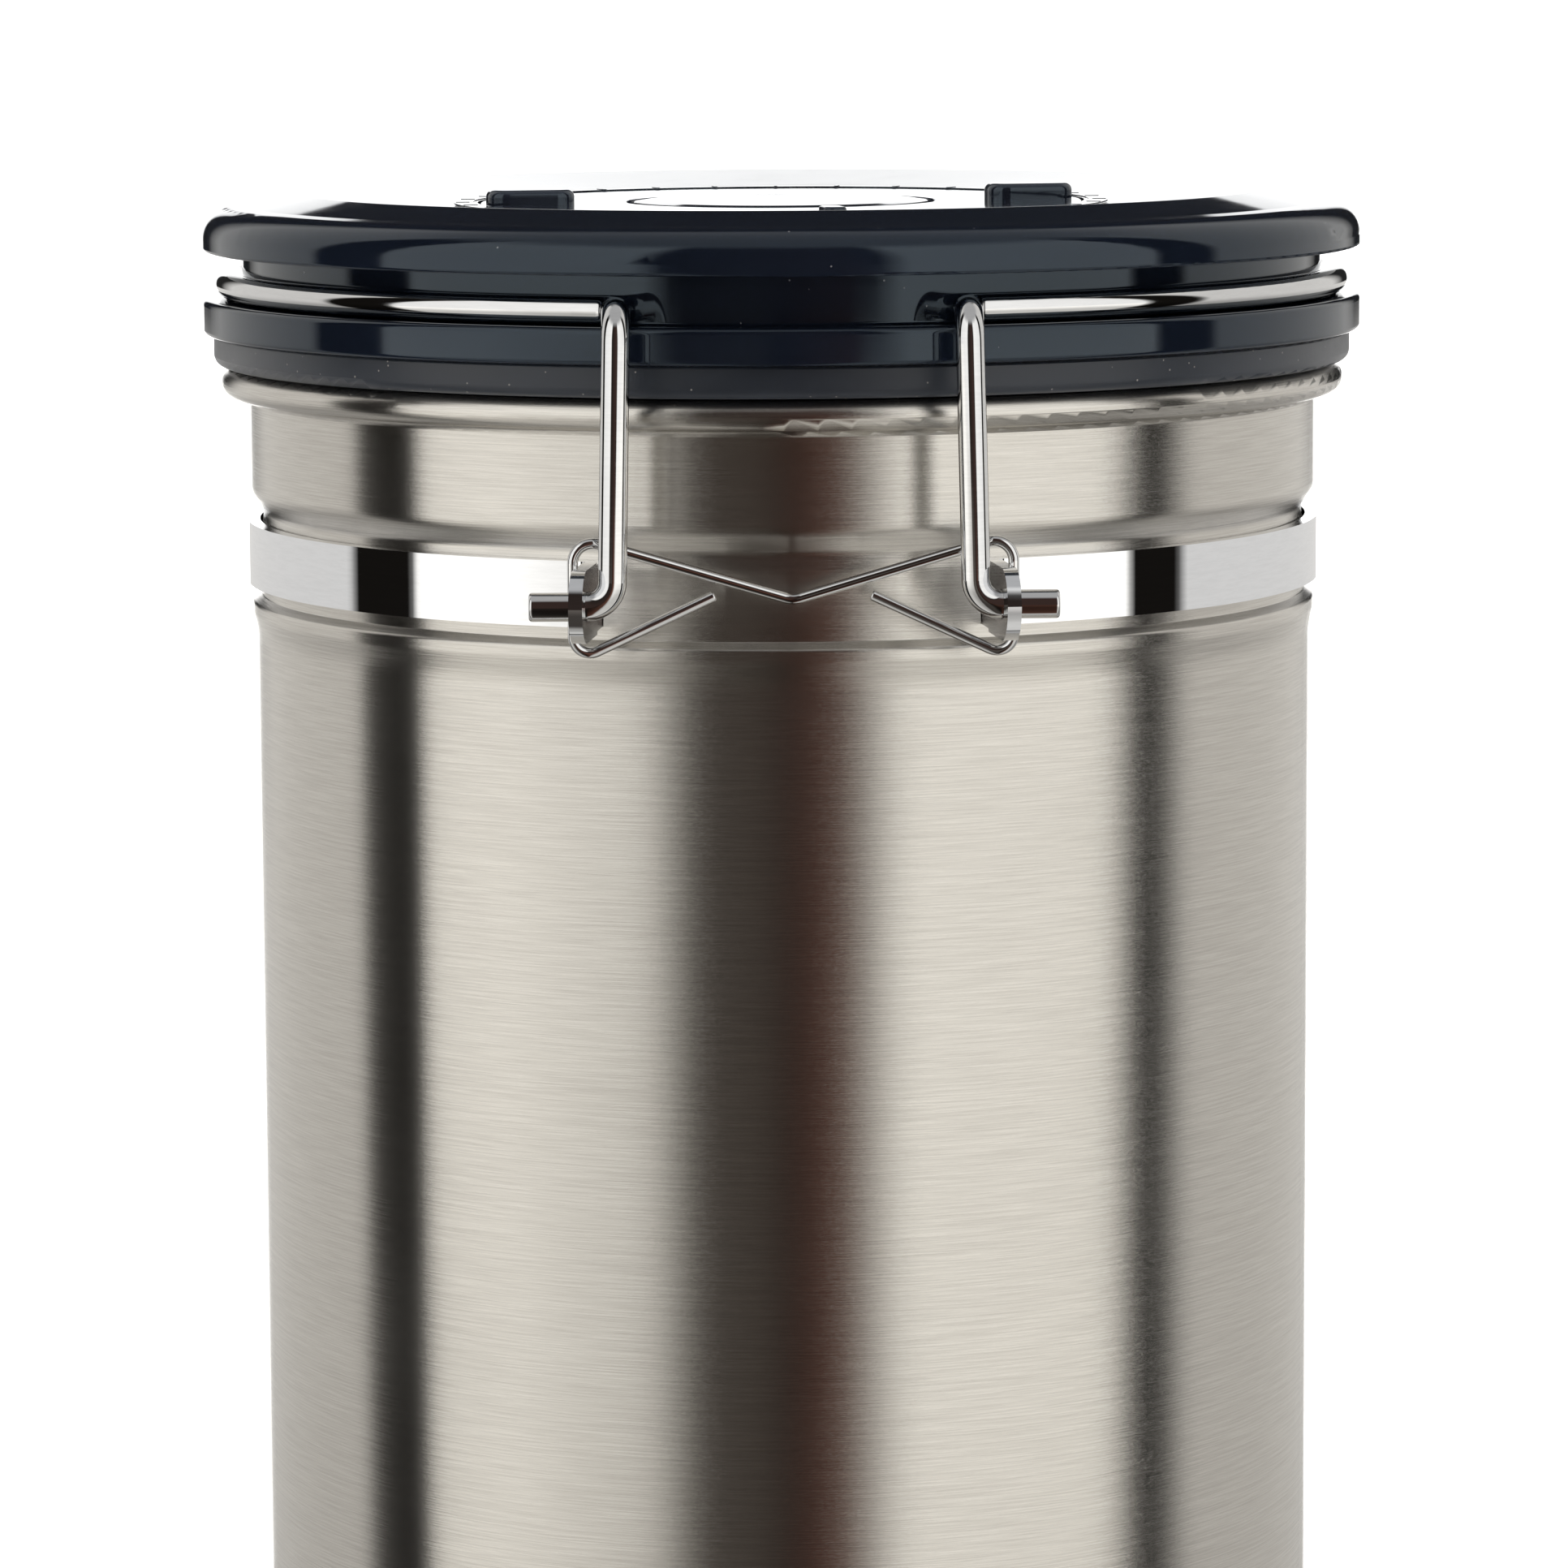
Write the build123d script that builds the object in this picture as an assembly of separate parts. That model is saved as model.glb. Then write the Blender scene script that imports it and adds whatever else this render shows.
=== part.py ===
from build123d import *
import math
import os

# Food canister with a wire-hinged clamp lid.
# Millimetres, +Z up, origin at the centre of the base, hinge side at -Y, latch side at +Y.

# Canister
BODY_R = 57.5
SHEET = 0.8
BULGE_R = 57.95
GROOVE_R = 56.9
NECK_R = 58.0
BEAD_R = 61.0
BEAD_LOW = 168.4
BEAD_TOP = 171.45
BASE_PLATE_R = 52.9

# Clamp band and ears
BAND_R_IN = 57.05
BAND_R_OUT = 58.4
BAND_LOW = 148.2
BAND_TOP = 154.95
EAR_X = 21.4
EAR_THICK = 1.4
EAR_R = 3.65
EAR_SLANT = 6.8
HOLE_R = 1.52

# Pivots of the hinge wire (rear) and the latch lever (front)
PIVOT_Y = 65.5
PIVOT_Z = 151.5
WIRE_R = 1.45
PIN_END = 26.5

# Tie wires
TIE_R = 0.55
TIE_X = 22.15

# Lid
LID_R = 62.9
GASKET_R = 61.75
GASKET_LOW = 171.75
GASKET_TOP = 175.1
FLANGE_LOW = 175.15
FLANGE_TOP = 179.0
GROOVE_WALL_R = 58.6
COVER_LOW = 184.1
CROWN_R = 52.5
CROWN_Z = 190.2
DISH_Z = 188.9
DISH_R = 36.0
RECESS_R = 33.0
RECESS_Z = 187.5
PLUG_R = 49.0
PLUG_LOW = 167.5
BAIL_R = 60.1
BAIL_Z = 180.5

# Date dial and vent valve
DIAL_R = 32.7
DIAL_HOLE_R = 14.4
DIAL_LOW = 187.8
DIAL_TOP = 188.85
TAB_TOP = 190.45
TAB_RADIUS = 27.6
TAB_LONG = 9.4
TAB_DEEP = 5.6
DIAL_TURN = 10.0
SCALE_MARKS = 31
CAP_R = 16.0
CAP_TOP = 189.0

# Latch, drawn closed and then swung open
JOG_LEAN = 12.0
JOG_ARM = 8.0
LEVER_OPEN = 100.0
LINK_RATIO = 1.5
LINK_WIRE_R = 0.8
LINK_X = 15.0
BAR_Y = 60.5
BAR_Z = 183.0


def turned(points):
    """Revolve a closed outline of (radius, height, corner radius) about Z."""
    corners = [(r, z) for r, z, _ in points]
    radii = [f for _, _, f in points]
    outline = FilletPolyline(*corners, radius=radii, close=True)
    return revolve(Plane.XZ * make_face(outline.edges()), Axis.Z)


def turned_plain(points):
    """Revolve a closed sharp-cornered outline of (radius, height) about Z."""
    outline = Polyline(*points, close=True)
    return revolve(Plane.XZ * make_face(outline.edges()), Axis.Z)


def bent_wire(path, radius):
    """Round wire along a smooth path."""
    section = Plane(origin=path @ 0, z_dir=path % 0) * Circle(radius)
    return sweep(section, path=path)


def soften_ends(wire, ends, size):
    """Round the cut ends of a wire."""
    for end in ends:
        caps = wire.faces().filter_by(GeomType.PLANE)
        edge = caps.sort_by_distance(Vector(*end))[0].edges()
        wire = fillet(edge, size)
    return wire


def canister_body():
    """Drawn sheet cylinder with the clamp groove, the neck and the rolled bead."""
    outside = [
        (BASE_PLATE_R + 0.1, 0.0, 0.0),
        (BODY_R, 0.0, 3.0),
        (BODY_R, 142.6, 8.0),
        (BULGE_R, 144.9, 2.0),
        (BULGE_R, 146.1, 0.5),
        (GROOVE_R + 0.05, 146.85, 0.15),
        (GROOVE_R - 0.1, 154.1, 0.8),
        (56.6, 155.9, 1.0),
        (NECK_R, 158.1, 1.8),
        (NECK_R, BEAD_LOW, 0.7),
        (BEAD_R, BEAD_LOW, 1.35),
        (BEAD_R, BEAD_TOP, 1.5),
        (NECK_R - SHEET, BEAD_TOP, 1.4),
    ]
    inside = [
        (NECK_R - SHEET, 158.5, 1.4),
        (55.8, 156.1, 1.4),
        (GROOVE_R - 0.9, 153.9, 1.0),
        (GROOVE_R - 0.75, 147.1, 0.6),
        (BULGE_R - SHEET, 145.8, 0.4),
        (BULGE_R - SHEET, 145.1, 2.0),
        (BODY_R - SHEET, 142.7, 6.0),
        (BODY_R - SHEET, SHEET, 2.2),
        (BASE_PLATE_R + 0.1, SHEET, 0.0),
    ]
    return turned(outside + inside)


def base_plate():
    """Flat bottom disc with a shallow stiffening step on its upper side."""
    return turned([
        (0.0, 0.0, 0.0),
        (BASE_PLATE_R, 0.0, 0.0),
        (BASE_PLATE_R, SHEET, 0.0),
        (47.0, SHEET, 0.4),
        (46.0, 1.4, 0.4),
        (0.0, 1.4, 0.0),
    ])


def at_ear(side, shape):
    """Place a shape drawn along Y through the pivot onto a left-hand slanted ear."""
    return Pos(-EAR_X, side * PIVOT_Y, 0) * Rot(0, 0, side * EAR_SLANT) * shape


def half_band():
    """Left half of the clamp band, with an ear turned outwards at each end."""
    ring = Circle(BAND_R_OUT) - Circle(BAND_R_IN)
    plan = ring & Pos(-50.0 - 19.9, 0) * Rectangle(100.0, 140.0)
    for side in (-1, 1):
        plan = plan + at_ear(side, Pos(0, side * -8.2) * Rectangle(EAR_THICK, 8.4))
    plan = plan - Circle(BAND_R_IN)
    bends = [v for v in plan.vertices() if abs(math.hypot(v.X, v.Y) - BAND_R_OUT) < 0.01]
    plan = fillet(bends, 1.5)
    band = Pos(0, 0, BAND_LOW) * extrude(plan, BAND_TOP - BAND_LOW)
    tab = Pos(-4.0, PIVOT_Z) * Rectangle(8.0, 2 * EAR_R) + Pos(0, PIVOT_Z) * Circle(EAR_R)
    plate = Pos(-EAR_THICK / 2, 0, 0) * extrude(Plane.YZ * tab, EAR_THICK)
    pin_hole = Rot(0, 90, 0) * Cylinder(HOLE_R, 8.0)
    for side in (-1, 1):
        ear = plate if side == 1 else mirror(plate, about=Plane.XZ)
        band = band + at_ear(side, ear)
        band = band - Pos(-EAR_X, side * PIVOT_Y, PIVOT_Z) * pin_hole
    return band


def tie_wire(side):
    """Thin wire hooked round both ears of one side, with a V between them."""
    half = [
        (7.9, side * 59.5, 151.9),
        (TIE_X, side * 61.0, 145.4),
        (TIE_X, side * 61.0, 158.1),
    ]
    apex = (0.0, side * 59.3, 151.4)
    mirrored = [(-x, y, z) for x, y, z in reversed(half)]
    path = FilletPolyline(*half, apex, *mirrored, radius=[1.7, 2.0, 2.6, 2.0, 1.7])
    wire = bent_wire(path, TIE_R)
    return soften_ends(wire, [half[0], mirrored[-1]], 0.2)


def hinge_bail():
    """C-shaped ring in the lid groove whose ends bend down to the rear pivots."""
    arm_x = 17.6
    foot_x = 18.2
    turn = math.asin(21.6 / BAIL_R)
    start = (-BAIL_R * math.sin(turn), -BAIL_R * math.cos(turn), BAIL_Z)
    run = (21.6 - arm_x) / math.cos(turn)
    elbow = (-arm_x, start[1] - run * math.sin(turn), BAIL_Z)
    left = [
        start,
        elbow,
        (-arm_x, -65.0, BAIL_Z),
        (-foot_x, -PIVOT_Y, PIVOT_Z),
        (-PIN_END, -PIVOT_Y, PIVOT_Z),
    ]
    right = [(-x, y, z) for x, y, z in left]
    bends = [2.4, 3.0, 2.5]
    leg_left = FilletPolyline(*left, radius=bends)
    leg_right = FilletPolyline(*right, radius=bends)
    ring = ThreePointArc(start, (0.0, BAIL_R, BAIL_Z), right[0])
    path = Wire(leg_left.edges() + ring.edges() + leg_right.edges())
    wire = bent_wire(path, WIRE_R)
    return soften_ends(wire, [left[-1], right[-1]], 0.35)


def lid_base():
    """Flange, groove wall and shallow plug, moulded as one piece."""
    body = turned([
        (10.0, PLUG_LOW, 0.3),
        (PLUG_R, PLUG_LOW, 1.5),
        (PLUG_R, FLANGE_LOW, 0.0),
        (LID_R, FLANGE_LOW, 0.5),
        (LID_R, FLANGE_TOP, 0.7),
        (GROOVE_WALL_R, FLANGE_TOP, 0.3),
        (GROOVE_WALL_R, COVER_LOW - 0.05, 0.0),
        (56.2, COVER_LOW - 0.05, 0.0),
        (56.2, FLANGE_TOP - 1.4, 0.4),
        (PLUG_R - 2.0, FLANGE_TOP - 1.4, 0.8),
        (PLUG_R - 2.0, PLUG_LOW + 2.0, 1.0),
        (10.0, PLUG_LOW + 2.0, 0.3),
    ])
    rib = Box(1.6, 33.0, 6.0)
    for i in range(6):
        body = body + Rot(0, 0, 60 * i + 30) * Pos(0, 30.0, PLUG_LOW + 4.9) * rib
    return body


def lid_gasket():
    """Soft sealing ring under the flange, with a short lip inside the neck."""
    return turned([
        (GASKET_R, GASKET_LOW, 1.1),
        (GASKET_R, GASKET_TOP, 0.3),
        (PLUG_R + 0.1, GASKET_TOP, 0.0),
        (PLUG_R + 0.1, 170.6, 0.0),
        (53.6, 170.6, 0.8),
        (54.3, GASKET_LOW, 0.3),
    ])


def lid_cover():
    """Domed cap of the lid with a shallow dish and a recess for the dial."""
    shell = turned([
        (54.0, 181.4, 0.4),
        (56.1, 181.4, 0.4),
        (56.1, COVER_LOW, 0.0),
        (LID_R, COVER_LOW, 0.35),
        (LID_R, 188.35, 3.5),
        (58.6, 188.95, 3.0),
        (CROWN_R, CROWN_Z, 0.9),
        (DISH_R, DISH_Z, 4.0),
        (RECESS_R, DISH_Z, 0.0),
        (RECESS_R, RECESS_Z, 0.0),
        (9.0, RECESS_Z, 0.0),
        (9.0, 185.3, 0.0),
        (54.0, 185.3, 1.0),
    ])
    return shell


def date_scale():
    """Fixed ring of day marks lying in the dish around the dial."""
    ring = turned_plain([(33.5, 188.92), (35.6, 188.92), (35.6, 188.98), (33.5, 188.98)])
    mark = Box(0.35, 1.5, 0.08)
    for i in range(SCALE_MARKS):
        turn = Rot(0, 0, i * 360.0 / SCALE_MARKS)
        ring = ring + turn * Pos(0, 34.6, 188.99) * mark
    return ring


def date_dial():
    """Turning disc with two finger tabs and a pointer."""
    disc = turned([
        (DIAL_HOLE_R, DIAL_LOW, 0.0),
        (DIAL_R, DIAL_LOW, 0.2),
        (DIAL_R, DIAL_TOP, 0.2),
        (17.0, DIAL_TOP, 0.2),
        (16.6, DIAL_TOP - 0.6, 0.0),
        (DIAL_HOLE_R, DIAL_TOP - 0.6, 0.0),
    ])
    height = TAB_TOP - DIAL_TOP + 0.15
    tab = extrude(RectangleRounded(TAB_LONG, TAB_DEEP, 2.1), height)
    tab = fillet(tab.faces().sort_by(Axis.Z)[-1].edges(), 0.8)
    for side in (-1, 1):
        disc = disc + Pos(side * TAB_RADIUS, 0, DIAL_TOP - 0.15) * tab
    pointer = extrude(RectangleRounded(2.4, 4.4, 0.9), 0.75)
    pointer = fillet(pointer.faces().sort_by(Axis.Z)[-1].edges(), 0.3)
    disc = disc + Pos(0, -28.4, DIAL_TOP - 0.1) * pointer
    return Rot(0, 0, DIAL_TURN) * disc


def dial_washer():
    """Thin slip washer between the dial and the recess floor."""
    return turned_plain([(20.0, 187.52), (24.0, 187.52), (24.0, 187.72), (20.0, 187.72)])


def valve_cap():
    """Vented cap that holds the valve and overlaps the dial's inner edge."""
    cap = turned([
        (0.0, 188.85, 0.0),
        (10.2, 188.55, 0.2),
        (10.6, 188.4, 0.0),
        (10.6, RECESS_Z + 0.02, 0.0),
        (13.6, RECESS_Z + 0.02, 0.0),
        (13.6, 188.55, 0.1),
        (CAP_R, 188.55, 0.1),
        (CAP_R, CAP_TOP - 0.15, 0.15),
        (CAP_R - 1.2, CAP_TOP, 1.0),
        (0.0, CAP_TOP + 0.3, 0.0),
    ])
    for i in range(4):
        slot = Rot(0, 0, 45 + 90 * i) * Pos(12.0, 0, RECESS_Z + 1.1) * Box(6.0, 1.6, 0.7)
        cap = cap - slot
    return cap


def valve_seat():
    """Round seat with a ring of vent holes and a socket for the valve stem."""
    seat = turned([
        (0.0, 184.6, 0.0),
        (8.9, 184.6, 0.3),
        (8.9, RECESS_Z + 0.05, 0.0),
        (10.3, RECESS_Z + 0.05, 0.0),
        (10.3, RECESS_Z + 0.55, 0.1),
        (0.0, RECESS_Z + 0.55, 0.0),
    ])
    for i in range(6):
        seat = seat - Rot(0, 0, 60 * i) * Pos(5.0, 0, 186.3) * Cylinder(1.0, 6.0)
    return seat - Pos(0, 0, 187.3) * Cylinder(1.35, 2.6)


def valve_flap():
    """Soft umbrella flap that lies over the vent holes."""
    return turned_plain([
        (0.0, 186.1),
        (1.3, 186.1),
        (1.3, 188.1),
        (7.8, 188.1),
        (7.8, 188.35),
        (2.0, 188.7),
        (0.0, 188.7),
    ])


def valve_filter():
    """Filter disc lying over the opening in the plug floor."""
    return turned_plain([
        (0.0, PLUG_LOW + 2.02),
        (12.5, PLUG_LOW + 2.02),
        (12.5, PLUG_LOW + 2.8),
        (0.0, PLUG_LOW + 2.8),
    ])


def filter_grille():
    """Perforated disc that closes the opening in the plug floor."""
    disc = Pos(0, 0, PLUG_LOW + 1.1) * Cylinder(9.9, 1.6)
    for i in range(6):
        disc = disc - Rot(0, 0, 60 * i) * Pos(3.2, 0, PLUG_LOW + 1.1) * Cylinder(0.9, 4.0)
    for i in range(10):
        disc = disc - Rot(0, 0, 36 * i) * Pos(6.9, 0, PLUG_LOW + 1.1) * Cylinder(0.9, 4.0)
    return disc


def jog_point():
    """Centre of the lever's jogs, which carry the link, with the latch closed."""
    lean = math.radians(JOG_LEAN)
    return (PIVOT_Y - JOG_ARM * math.sin(lean), PIVOT_Z - JOG_ARM * math.cos(lean))


def lever_closed():
    """Bent wire lever: pivots, jogs for the link, and a flared finger loop."""
    jog_y, jog_z = jog_point()
    half = [
        (PIN_END, PIVOT_Y, PIVOT_Z),
        (18.4, PIVOT_Y, PIVOT_Z),
        (18.4, jog_y, jog_z),
        (11.0, jog_y, jog_z),
        (15.0, 64.6, 125.0),
        (14.0, 69.2, 116.5),
    ]
    mirrored = [(-x, y, z) for x, y, z in reversed(half)]
    bends = [2.2, 2.2, 2.2, 9.0, 4.0]
    path = FilletPolyline(*half, *mirrored, radius=bends + bends[::-1])
    wire = bent_wire(path, WIRE_R)
    return soften_ends(wire, [half[0], mirrored[-1]], 0.35)


def link_closed():
    """Thin wire link: two eyes on the lever's jogs and a bar for the lid groove."""
    jog_y, jog_z = jog_point()
    eye_r = HOLE_R + LINK_WIRE_R
    arm = [
        (LINK_X, jog_y, jog_z + eye_r),
        (LINK_X, 64.6, 170.0),
        (LINK_X, 64.6, BAR_Z),
        (LINK_X, BAR_Y, BAR_Z),
    ]
    mirrored = [(-x, y, z) for x, y, z in reversed(arm)]
    bends = [20.0, 1.8, 1.8]
    path = FilletPolyline(*arm, *mirrored, radius=bends + bends[::-1])
    wire = bent_wire(path, LINK_WIRE_R)
    for side in (-1, 1):
        eye = Pos(side * LINK_X, jog_y, jog_z) * Rot(0, 90, 0) * Torus(eye_r, LINK_WIRE_R)
        wire = wire + eye
    return wire


def swung(shape, y, z, degrees):
    """Turn a shape about the axis along X through (y, z)."""
    return Pos(0, y, z) * Rot(degrees, 0, 0) * Pos(0, -y, -z) * shape


def latch_lever():
    """Lever in its open position."""
    return swung(lever_closed(), PIVOT_Y, PIVOT_Z, LEVER_OPEN)


def latch_link():
    """Link in its open position, carried by the lever's jogs."""
    jog_y, jog_z = jog_point()
    folded = swung(link_closed(), jog_y, jog_z, -LINK_RATIO * LEVER_OPEN)
    return swung(folded, PIVOT_Y, PIVOT_Z, LEVER_OPEN)


def main():
    os.makedirs("parts", exist_ok=True)
    left = half_band()
    parts = {
        "canister_body": canister_body(),
        "base_plate": base_plate(),
        "band_left": left,
        "band_right": mirror(left, about=Plane.YZ),
        "rear_tie_wire": tie_wire(-1),
        "front_tie_wire": tie_wire(1),
        "hinge_bail": hinge_bail(),
        "lid_base": lid_base(),
        "lid_gasket": lid_gasket(),
        "lid_cover": lid_cover(),
        "date_scale": date_scale(),
        "date_dial": date_dial(),
        "dial_washer": dial_washer(),
        "valve_cap": valve_cap(),
        "valve_seat": valve_seat(),
        "valve_flap": valve_flap(),
        "valve_filter": valve_filter(),
        "filter_grille": filter_grille(),
        "latch_lever": latch_lever(),
        "latch_link": latch_link(),
    }
    for name, shape in parts.items():
        export_step(shape, "parts/" + name + ".step")
        box = shape.bounding_box()
        print(name, len(shape.solids()), round(shape.volume, 1), box.min, box.max)


main()
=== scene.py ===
import math

import bpy
from mathutils import Matrix, Vector


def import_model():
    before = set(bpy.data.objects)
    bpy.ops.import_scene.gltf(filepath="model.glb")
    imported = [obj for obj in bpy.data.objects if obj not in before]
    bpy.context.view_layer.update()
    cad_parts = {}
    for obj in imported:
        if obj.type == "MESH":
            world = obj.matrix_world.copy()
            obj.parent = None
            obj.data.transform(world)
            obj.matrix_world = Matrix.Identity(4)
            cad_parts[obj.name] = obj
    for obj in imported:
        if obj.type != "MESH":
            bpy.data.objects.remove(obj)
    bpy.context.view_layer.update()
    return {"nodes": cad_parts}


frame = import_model()
nodes = frame["nodes"]

# Camera: metres, millimetres for the lens, degrees for the angles
CAMERA_DISTANCE = 0.72
CAMERA_HEIGHT = 0.2211
CAMERA_AZIMUTH = -0.99
CAMERA_PITCH = 7.62
CAMERA_ROLL = -0.31
CAMERA_LENS = 151.4
CAMERA_SENSOR = 36.0

# Floor: flat radius, bend radius and wall height in metres, segments round
FLOOR_FLAT = 4.0
FLOOR_BEND = 1.5
FLOOR_WALL = 6.0
FLOOR_TURNS = 64
FLOOR_ARC = 12
FLOOR_GLOW = 0.6

# Noise values mostly lie between these
NOISE_LOW = 0.3
NOISE_HIGH = 0.7

# Share of the speck cells that show a dot is 1 - SPECK_KEEP
SPECK_KEEP = 0.62


def new_material(name):
    """Empty node material with a Principled shader."""
    mat = bpy.data.materials.new(name)
    mat.use_nodes = True
    return mat, mat.node_tree, mat.node_tree.nodes["Principled BSDF"]


def coords(tree, scale):
    """Object coordinates, scaled per axis."""
    pos = tree.nodes.new("ShaderNodeTexCoord")
    stretch = tree.nodes.new("ShaderNodeMapping")
    stretch.inputs["Scale"].default_value = scale
    tree.links.new(pos.outputs["Object"], stretch.inputs["Vector"])
    return stretch.outputs["Vector"]


def noise(tree, scale, detail=4.0, rough=0.55):
    """Noise over scaled object coordinates; scale is in features per metre."""
    tex = tree.nodes.new("ShaderNodeTexNoise")
    tex.inputs["Scale"].default_value = 1.0
    tex.inputs["Detail"].default_value = detail
    tex.inputs["Roughness"].default_value = rough
    tree.links.new(coords(tree, scale), tex.inputs["Vector"])
    return tex.outputs["Fac"]


def ramp(tree, value, stops):
    """Colour ramp with the given (position, colour) stops."""
    node = tree.nodes.new("ShaderNodeValToRGB")
    elements = node.color_ramp.elements
    while len(elements) < len(stops):
        elements.new(0.5)
    for element, (place, colour) in zip(elements, stops):
        element.position = place
        element.color = (*colour, 1.0)
    tree.links.new(value, node.inputs["Fac"])
    return node.outputs["Color"]


def grey(v):
    """Neutral colour of value v."""
    return (v, v, v)


def remap(tree, value, low, high):
    """Noise value taken to the range low to high."""
    node = tree.nodes.new("ShaderNodeMapRange")
    node.inputs["From Min"].default_value = NOISE_LOW
    node.inputs["From Max"].default_value = NOISE_HIGH
    node.inputs["To Min"].default_value = low
    node.inputs["To Max"].default_value = high
    tree.links.new(value, node.inputs["Value"])
    return node.outputs["Result"]


def bump(tree, shader, heights):
    """Chain of bumps; heights is a list of (value, strength, distance)."""
    normal = None
    for value, strength, distance in heights:
        node = tree.nodes.new("ShaderNodeBump")
        node.inputs["Strength"].default_value = strength
        node.inputs["Distance"].default_value = distance
        tree.links.new(value, node.inputs["Height"])
        if normal is not None:
            tree.links.new(normal, node.inputs["Normal"])
        normal = node.outputs["Normal"]
    tree.links.new(normal, shader.inputs["Normal"])


def specks(tree, scale, size):
    """Sparse dots, 1 inside a dot and 0 elsewhere."""
    tex = tree.nodes.new("ShaderNodeTexVoronoi")
    tex.inputs["Scale"].default_value = 1.0
    tree.links.new(coords(tree, (scale, scale, scale)), tex.inputs["Vector"])
    near = tree.nodes.new("ShaderNodeMath")
    near.operation = "LESS_THAN"
    near.inputs[1].default_value = size
    tree.links.new(tex.outputs["Distance"], near.inputs[0])
    keep = tree.nodes.new("ShaderNodeSeparateColor")
    tree.links.new(tex.outputs["Color"], keep.inputs["Color"])
    few = tree.nodes.new("ShaderNodeMath")
    few.operation = "GREATER_THAN"
    few.inputs[1].default_value = SPECK_KEEP
    tree.links.new(keep.outputs["Red"], few.inputs[0])
    both = tree.nodes.new("ShaderNodeMath")
    both.operation = "MULTIPLY"
    tree.links.new(near.outputs[0], both.inputs[0])
    tree.links.new(few.outputs[0], both.inputs[1])
    return both.outputs[0]


def mix_colour(tree, factor, a, b):
    """Colour a where factor is 0 and b where it is 1; a and b are sockets or colours."""
    node = tree.nodes.new("ShaderNodeMix")
    node.data_type = "RGBA"
    tree.links.new(factor, node.inputs[0])
    for slot, value in ((6, a), (7, b)):
        if isinstance(value, tuple):
            node.inputs[slot].default_value = (*value, 1.0)
        else:
            tree.links.new(value, node.inputs[slot])
    return node.outputs[2]


def brushed_steel():
    """Stainless sheet brushed round the axis, with short fine scratches."""
    mat, tree, shader = new_material("brushed_steel_sheet")
    streak = noise(tree, (120.0, 120.0, 6200.0), 5.0, 0.6)
    grain = noise(tree, (1500.0, 1500.0, 9000.0), 3.0, 0.6)
    cloud = noise(tree, (18.0, 18.0, 26.0), 3.0, 0.5)
    base = ramp(tree, streak, [(0.35, (0.54, 0.515, 0.475)), (0.65, (0.74, 0.715, 0.665))])
    tint = mix_colour(tree, grain, base, (0.62, 0.595, 0.55))
    tree.links.new(tint, shader.inputs["Base Color"])
    shader.inputs["Metallic"].default_value = 1.0
    shader.inputs["Anisotropic"].default_value = 0.96
    shader.inputs["Anisotropic Rotation"].default_value = 0.25
    tree.links.new(remap(tree, cloud, 0.215, 0.255), shader.inputs["Roughness"])
    tangent = tree.nodes.new("ShaderNodeTangent")
    tangent.direction_type = "RADIAL"
    tangent.axis = "Z"
    tree.links.new(tangent.outputs["Tangent"], shader.inputs["Tangent"])
    bump(tree, shader, [(streak, 0.36, 0.00005), (grain, 0.12, 0.00003)])
    return mat


def chrome(name, colour, low, high, dents):
    """Plated metal with faint hairlines and a little waviness."""
    mat, tree, shader = new_material(name)
    hair = noise(tree, (260.0, 260.0, 2600.0), 3.0, 0.7)
    wave = noise(tree, (60.0, 60.0, 60.0), 2.0, 0.5)
    darker = tuple(c * 0.95 for c in colour)
    base = ramp(tree, hair, [(0.35, darker), (0.6, colour)])
    tree.links.new(base, shader.inputs["Base Color"])
    shader.inputs["Metallic"].default_value = 1.0
    tree.links.new(remap(tree, hair, low, high), shader.inputs["Roughness"])
    bump(tree, shader, [(wave, 0.12, dents), (hair, 0.02, 0.00001)])
    return mat


def gloss_plastic(name, colour):
    """Glossy moulded plastic with a soft flow pattern, fine wipes and dust."""
    mat, tree, shader = new_material(name)
    flow = noise(tree, (35.0, 35.0, 60.0), 3.0, 0.5)
    wipe = noise(tree, (160.0, 160.0, 1200.0), 4.0, 0.65)
    dust = specks(tree, 420.0, 0.045)
    deep = tuple(c * 0.75 for c in colour)
    base = ramp(tree, flow, [(0.35, deep), (0.65, colour)])
    base = mix_colour(tree, dust, base, (0.09, 0.09, 0.09))
    tree.links.new(base, shader.inputs["Base Color"])
    shader.inputs["IOR"].default_value = 1.52
    shader.inputs["Specular Tint"].default_value = (0.70, 0.87, 1.0, 1.0)
    shader.inputs["Coat Weight"].default_value = 0.1
    shader.inputs["Coat Roughness"].default_value = 0.03
    tree.links.new(remap(tree, wipe, 0.03, 0.075), shader.inputs["Roughness"])
    bump(tree, shader, [(flow, 0.05, 0.0003), (wipe, 0.02, 0.00003)])
    return mat


def silicone():
    """Satin silicone that has picked up dust."""
    mat, tree, shader = new_material("silicone_satin")
    cloud = noise(tree, (55.0, 55.0, 140.0), 4.0, 0.6)
    fine = noise(tree, (2400.0, 2400.0, 2400.0), 2.0, 0.5)
    dust = specks(tree, 1100.0, 0.11)
    base = ramp(tree, cloud, [(0.3, (0.004, 0.006, 0.010)), (0.7, (0.007, 0.010, 0.016))])
    base = mix_colour(tree, dust, base, (0.13, 0.12, 0.11))
    tree.links.new(base, shader.inputs["Base Color"])
    shader.inputs["Sheen Weight"].default_value = 0.06
    tree.links.new(remap(tree, cloud, 0.3, 0.42), shader.inputs["Roughness"])
    bump(tree, shader, [(fine, 0.12, 0.00003)])
    return mat


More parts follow.
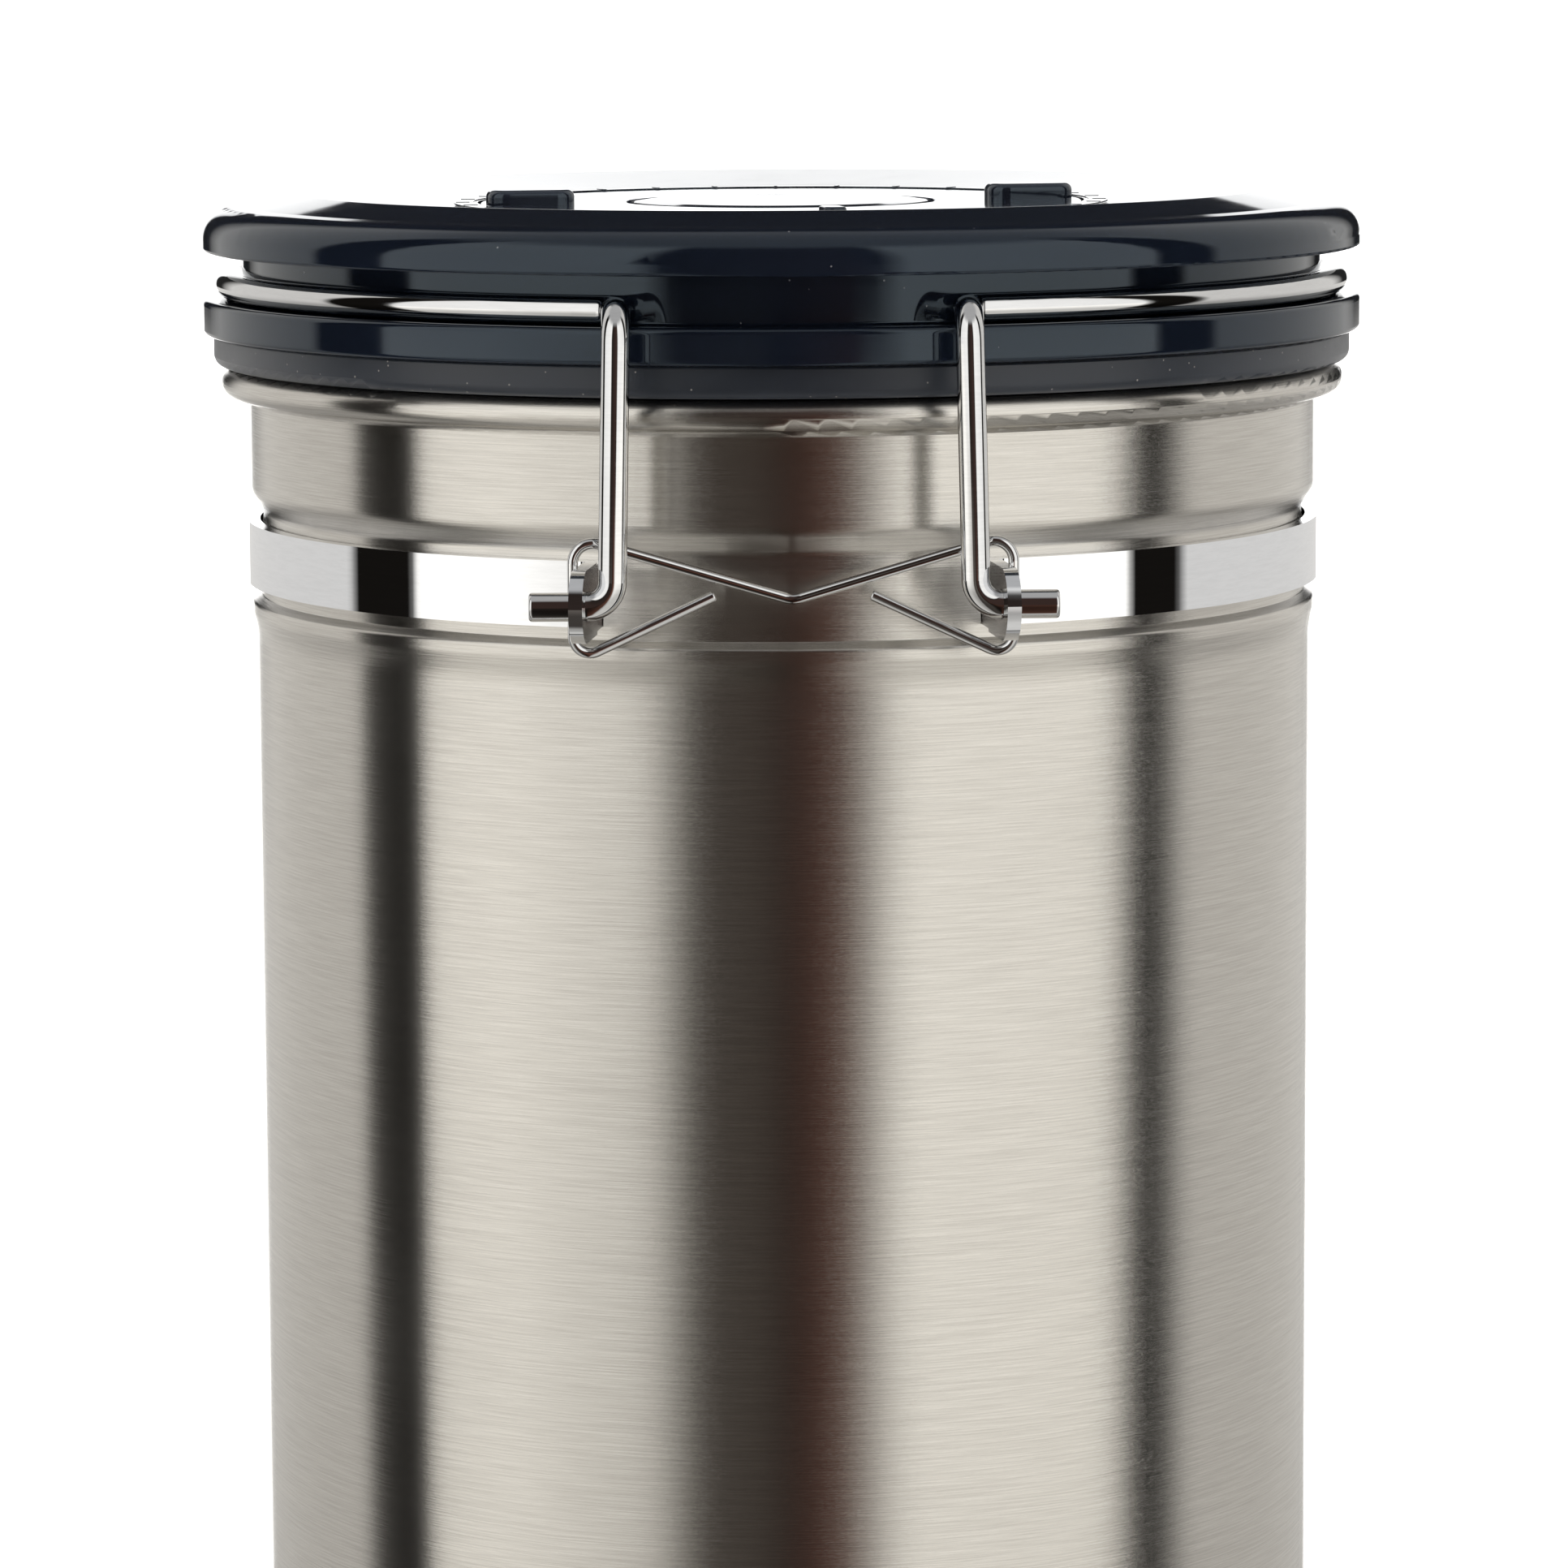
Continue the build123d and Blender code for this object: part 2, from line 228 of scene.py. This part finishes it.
def matte(name, light, dark, scale, depth):
    """Fine-grained matt material."""
    mat, tree, shader = new_material(name)
    grain = noise(tree, (scale, scale, scale), 4.0, 0.6)
    base = ramp(tree, grain, [(0.35, dark), (0.65, light)])
    tree.links.new(base, shader.inputs["Base Color"])
    tree.links.new(remap(tree, grain, 0.5, 0.75), shader.inputs["Roughness"])
    bump(tree, shader, [(grain, 0.3, depth)])
    return mat


def woven():
    """Plain-weave filter cloth."""
    mat, tree, shader = new_material("filter_weave")
    bands = []
    for axis in ("X", "Y"):
        wave = tree.nodes.new("ShaderNodeTexWave")
        wave.bands_direction = axis
        wave.inputs["Scale"].default_value = 1.0
        tree.links.new(coords(tree, (260.0, 260.0, 260.0)), wave.inputs["Vector"])
        bands.append(wave.outputs["Fac"])
    both = tree.nodes.new("ShaderNodeMath")
    both.operation = "MULTIPLY"
    tree.links.new(bands[0], both.inputs[0])
    tree.links.new(bands[1], both.inputs[1])
    base = ramp(tree, both.outputs[0], [(0.1, (0.42, 0.41, 0.38)), (0.7, (0.8, 0.79, 0.75))])
    tree.links.new(base, shader.inputs["Base Color"])
    tree.links.new(remap(tree, both.outputs[0], 0.75, 0.9), shader.inputs["Roughness"])
    bump(tree, shader, [(both.outputs[0], 0.6, 0.0002)])
    return mat


def dress(mat, *names):
    """Gives CAD nodes a material."""
    for name in names:
        data = nodes[name].data
        data.materials.clear()
        data.materials.append(mat)


dress(brushed_steel(), "canister_body", "base_plate")
dress(
    chrome("band_plating", (0.80, 0.81, 0.83), 0.012, 0.03, 0.00005),
    "band_left", "band_right",
)
dress(
    chrome("wire_plating", (0.70, 0.70, 0.70), 0.02, 0.06, 0.00012),
    "hinge_bail", "latch_lever", "latch_link", "rear_tie_wire", "front_tie_wire",
)
dress(
    gloss_plastic("lid_gloss", (0.0035, 0.005, 0.009)),
    "lid_cover", "lid_base", "filter_grille", "date_scale",
)
dress(gloss_plastic("dial_gloss", (0.010, 0.012, 0.018)), "date_dial", "valve_cap")
dress(silicone(), "lid_gasket", "valve_flap")
dress(
    matte("slip_washer", (0.8, 0.8, 0.78), (0.7, 0.7, 0.68), 1500.0, 0.00003),
    "dial_washer",
)
dress(
    matte("valve_moulding", (0.06, 0.06, 0.065), (0.04, 0.04, 0.045), 1800.0, 0.00003),
    "valve_seat",
)
dress(woven(), "valve_filter")


def floor():
    """Pale round floor that curves up into a wall far from the canister on every side."""
    profile = [(0.4 * FLOOR_FLAT, 0.0), (FLOOR_FLAT, 0.0)]
    for i in range(1, FLOOR_ARC + 1):
        a = math.pi / 2 * i / FLOOR_ARC
        out, up = FLOOR_BEND * math.sin(a), FLOOR_BEND * (1 - math.cos(a))
        profile.append((FLOOR_FLAT + out, up))
    profile.append((FLOOR_FLAT + FLOOR_BEND, FLOOR_WALL))
    rings = len(profile)
    verts = [(0.0, 0.0, 0.0)]
    for i in range(FLOOR_TURNS):
        turn = math.tau * i / FLOOR_TURNS
        verts += [(r * math.cos(turn), r * math.sin(turn), z) for r, z in profile]
    faces = []
    for i in range(FLOOR_TURNS):
        here, after = 1 + i * rings, 1 + (i + 1) % FLOOR_TURNS * rings
        faces.append((0, here, after))
        for k in range(rings - 1):
            faces.append((here + k, here + k + 1, after + k + 1, after + k))
    mesh = bpy.data.meshes.new("floor")
    mesh.from_pydata(verts, [], faces)
    mesh.polygons.foreach_set("use_smooth", [True] * len(faces))
    obj = bpy.data.objects.new("floor", mesh)
    bpy.context.scene.collection.objects.link(obj)
    mat, tree, shader = new_material("pale_floor")
    shade = noise(tree, (6.0, 6.0, 6.0), 2.0, 0.5)
    base = ramp(tree, shade, [(NOISE_LOW, grey(0.88)), (NOISE_HIGH, grey(0.9))])
    tree.links.new(base, shader.inputs["Base Color"])
    shader.inputs["Roughness"].default_value = 0.8
    shader.inputs["Emission Color"].default_value = (1, 1, 1, 1)
    shader.inputs["Emission Strength"].default_value = FLOOR_GLOW
    mesh.materials.append(mat)
    obj.visible_glossy = False


def level(tree, value, low, high):
    """0 below low, 1 above high, smooth between."""
    node = tree.nodes.new("ShaderNodeMapRange")
    node.interpolation_type = "SMOOTHSTEP"
    node.inputs["From Min"].default_value = low
    node.inputs["From Max"].default_value = high
    tree.links.new(value, node.inputs["Value"])
    return node.outputs["Result"]


def world():
    """Studio surround: softboxes with dark gaps, set out by azimuth and height.

    Azimuth 0 faces the hinge side, and positive angles are to the right of it.
    Below the horizon is the table, above it the room, with a bright strip low
    behind the canister and a soft ceiling overhead.
    """
    surround = bpy.data.worlds.new("studio")
    bpy.context.scene.world = surround
    surround.use_nodes = True
    tree = surround.node_tree
    back = tree.nodes["Background"]
    pos = tree.nodes.new("ShaderNodeTexCoord")
    split = tree.nodes.new("ShaderNodeSeparateXYZ")
    tree.links.new(pos.outputs["Generated"], split.inputs["Vector"])
    flip = tree.nodes.new("ShaderNodeMath")
    flip.operation = "MULTIPLY"
    flip.inputs[1].default_value = -1.0
    tree.links.new(split.outputs["Y"], flip.inputs[0])
    turn = tree.nodes.new("ShaderNodeMath")
    turn.operation = "ARCTAN2"
    tree.links.new(split.outputs["X"], turn.inputs[0])
    tree.links.new(flip.outputs[0], turn.inputs[1])
    unit = tree.nodes.new("ShaderNodeMath")
    unit.operation = "MULTIPLY_ADD"
    unit.inputs[1].default_value = 0.5 / math.pi
    unit.inputs[2].default_value = 0.5
    tree.links.new(turn.outputs[0], unit.inputs[0])

    def at(deg):
        """Ramp position of an azimuth in degrees."""
        return 0.5 + deg / 360.0

    side = (0.78, 0.765, 0.74)
    dark = (0.008, 0.007, 0.006)
    box = (1.45, 1.42, 1.35)
    soft = (1.15, 1.14, 1.12)
    room = (0.02, 0.017, 0.015)
    table = ramp(tree, unit.outputs[0], [
        (at(-180), side), (at(-106), side), (at(-103), dark), (at(-86), dark),
        (at(-84), box), (at(-62), box), (at(-26), (0.72, 0.70, 0.66)),
        (at(-21), (0.11, 0.095, 0.085)), (at(-6), (0.13, 0.115, 0.10)),
        (at(-1), (0.010, 0.008, 0.007)), (at(13), (0.22, 0.10, 0.07)),
        (at(17), (0.85, 0.82, 0.78)), (at(24), box), (at(76), box), (at(78), dark),
        (at(91), dark), (at(94), side), (at(180), side),
    ])
    upper = ramp(tree, unit.outputs[0], [
        (at(-180), grey(0.02)), (at(-158), grey(0.02)), (at(-148), side), (at(-106), side),
        (at(-103), dark), (at(-86), dark), (at(-84), soft), (at(-30), (1.3, 1.29, 1.26)),
        (at(-24), room), (at(12), (0.06, 0.035, 0.03)), (at(18), room),
        (at(24), (1.3, 1.29, 1.26)), (at(76), soft), (at(78), dark), (at(91), dark),
        (at(94), side), (at(148), side), (at(158), grey(0.02)), (at(180), grey(0.02)),
    ])
    glow = ramp(tree, unit.outputs[0], [
        (at(-180), grey(1.7)), (at(-169), grey(1.6)), (at(-167.5), grey(0.0)),
        (at(167.5), grey(0.0)), (at(169), grey(1.6)), (at(180), grey(1.7)),
    ])
    up = split.outputs["Z"]
    glow = mix_colour(tree, level(tree, up, 0.21, 0.22), glow, grey(0.0))
    near = mix_colour(tree, level(tree, up, -0.45, -0.06), grey(0.5), grey(1.0))
    table = mix_colour(tree, near, grey(0.0), table)
    ring = mix_colour(tree, level(tree, up, -0.075, -0.055), table, upper)
    ring = mix_colour(tree, level(tree, up, 0.70, 0.90), ring, grey(0.5))
    total = tree.nodes.new("ShaderNodeMix")
    total.data_type = "RGBA"
    total.blend_type = "ADD"
    total.inputs[0].default_value = 1.0
    tree.links.new(ring, total.inputs[6])
    tree.links.new(glow, total.inputs[7])
    tree.links.new(total.outputs[2], back.inputs["Color"])
    back.inputs["Strength"].default_value = 1.0


def area(name, place, aim, size, power):
    """Soft area light aimed at a point."""
    data = bpy.data.lights.new(name, "AREA")
    data.shape = "RECTANGLE"
    data.size, data.size_y = size
    data.energy = power
    obj = bpy.data.objects.new(name, data)
    bpy.context.scene.collection.objects.link(obj)
    obj.location = place
    obj.rotation_euler = (Vector(aim) - Vector(place)).to_track_quat("-Z", "Y").to_euler()
    obj.visible_glossy = False


def camera():
    """Long-lens camera looking slightly down at the hinge side."""
    data = bpy.data.cameras.new("camera")
    data.lens = CAMERA_LENS
    data.sensor_width = CAMERA_SENSOR
    data.clip_start = 0.05
    data.clip_end = 50.0
    obj = bpy.data.objects.new("camera", data)
    bpy.context.scene.collection.objects.link(obj)
    azimuth = math.radians(CAMERA_AZIMUTH)
    place = Vector((
        CAMERA_DISTANCE * math.sin(azimuth),
        -CAMERA_DISTANCE * math.cos(azimuth),
        CAMERA_HEIGHT,
    ))
    turn = Matrix.Rotation(azimuth, 4, "Z")
    tilt = Matrix.Rotation(math.radians(90 - CAMERA_PITCH), 4, "X")
    roll = Matrix.Rotation(math.radians(CAMERA_ROLL), 4, "Z")
    obj.matrix_world = Matrix.Translation(place) @ turn @ tilt @ roll
    bpy.context.scene.camera = obj


floor()
world()
area("top_soft", (0.0, 0.35, 1.1), (0, 0, 0.1), (1.2, 1.0), 14.0)
camera()
bpy.context.scene.view_settings.view_transform = "Standard"
